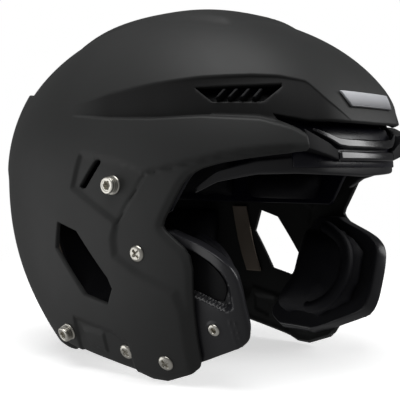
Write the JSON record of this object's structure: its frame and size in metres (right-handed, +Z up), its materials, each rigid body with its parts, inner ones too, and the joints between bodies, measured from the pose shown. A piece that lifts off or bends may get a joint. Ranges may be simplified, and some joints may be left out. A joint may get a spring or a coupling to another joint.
{
  "type": "american football helmet",
  "caption": "Open-face padded football helmet without mask: vented hard shell with brow bumpers, jaw pods, chin-strap studs and cushions that pull off.",
  "frame": {"origin": "on the plane the helmet stands on, under the middle of its box", "axes": "-Y is the way the wearer faces, +X the wearer's left, +Z up"},
  "size_m": [0.2544, 0.3172, 0.2649],
  "materials": {
    "shell": "matt black moulded shell",
    "bumper": "glossy black brow bars and inner rim",
    "pod": "satin black jaw pods",
    "liner": "satin black liner shell and columns",
    "cushion": "black covered cushions",
    "badge": "plain silver-grey plate",
    "steel": "bright screws and studs",
    "vent": "black louvre",
    "hook": "grey-brown hook-and-loop tape"
  },
  "bodies": {
    "helmet": {"brow_badge": "badge", "brow_channel": "liner", "brow_rim": "bumper", "bumper_lower": "bumper", "bumper_upper": "bumper", "cheek_screw_left": "steel", "cheek_screw_right": "steel", "column_band_left": "liner", "column_band_right": "liner", "hook_strip_left": "hook", "hook_strip_right": "hook", "jaw_pod_left": "pod", "jaw_pod_right": "pod", "liner_shell": "liner", "low_front_screw_left": "steel", "low_front_screw_right": "steel", "low_mid_screw_left": "steel", "low_mid_screw_right": "steel", "lower_snap_left": "steel", "lower_snap_nut_left": "steel", "lower_snap_nut_right": "steel", "lower_snap_right": "steel", "mask_insert_left": "steel", "mask_insert_right": "steel", "outer_shell": "shell", "side_pad_left": "cushion", "side_pad_right": "cushion", "side_vent_left": "vent", "side_vent_right": "vent", "upper_pad_left": "cushion", "upper_pad_right": "cushion", "upper_side_pad_left": "cushion", "upper_side_pad_right": "cushion", "upper_snap_left": "steel", "upper_snap_nut_left": "steel", "upper_snap_nut_right": "steel", "upper_snap_right": "steel", "wing_tip_left": "shell", "wing_tip_right": "shell"},
    "crown_pad": {"crown_pad": "cushion"},
    "front_pad": {"front_pad": "cushion"},
    "rear_pad": {"rear_pad": "cushion"},
    "nape_pad": {"nape_pad": "cushion"},
    "jaw_pad_left": {"jaw_pad_left": "cushion"},
    "jaw_pad_right": {"jaw_pad_right": "cushion"},
    "temple_pad_left": {"temple_pad_left": "cushion"},
    "temple_pad_right": {"temple_pad_right": "cushion"}
  },
  "joints": [
    {"name": "crown_pad_pull", "type": "slide", "parent": "helmet", "child": "crown_pad", "axis": [0, 0, -1], "range_m": [0, 0.05]},
    {"name": "front_pad_pull", "type": "slide", "parent": "helmet", "child": "front_pad", "axis": [0, 1, 0], "range_m": [0, 0.03]},
    {"name": "rear_pad_pull", "type": "slide", "parent": "helmet", "child": "rear_pad", "axis": [0, -1, 0], "range_m": [0, 0.03]},
    {"name": "nape_pad_pull", "type": "slide", "parent": "helmet", "child": "nape_pad", "axis": [0, -1, 0], "range_m": [0, 0.03]},
    {"name": "jaw_pad_left_pull", "type": "slide", "parent": "helmet", "child": "jaw_pad_left", "axis": [-1, 0, 0], "range_m": [0, 0.025]},
    {"name": "jaw_pad_right_pull", "type": "slide", "parent": "helmet", "child": "jaw_pad_right", "axis": [1, 0, 0], "range_m": [0, 0.025]},
    {"name": "temple_pad_left_pull", "type": "slide", "parent": "helmet", "child": "temple_pad_left", "axis": [-1, 0, 0], "range_m": [0, 0.02]},
    {"name": "temple_pad_right_pull", "type": "slide", "parent": "helmet", "child": "temple_pad_right", "axis": [1, 0, 0], "range_m": [0, 0.02]}
  ]
}
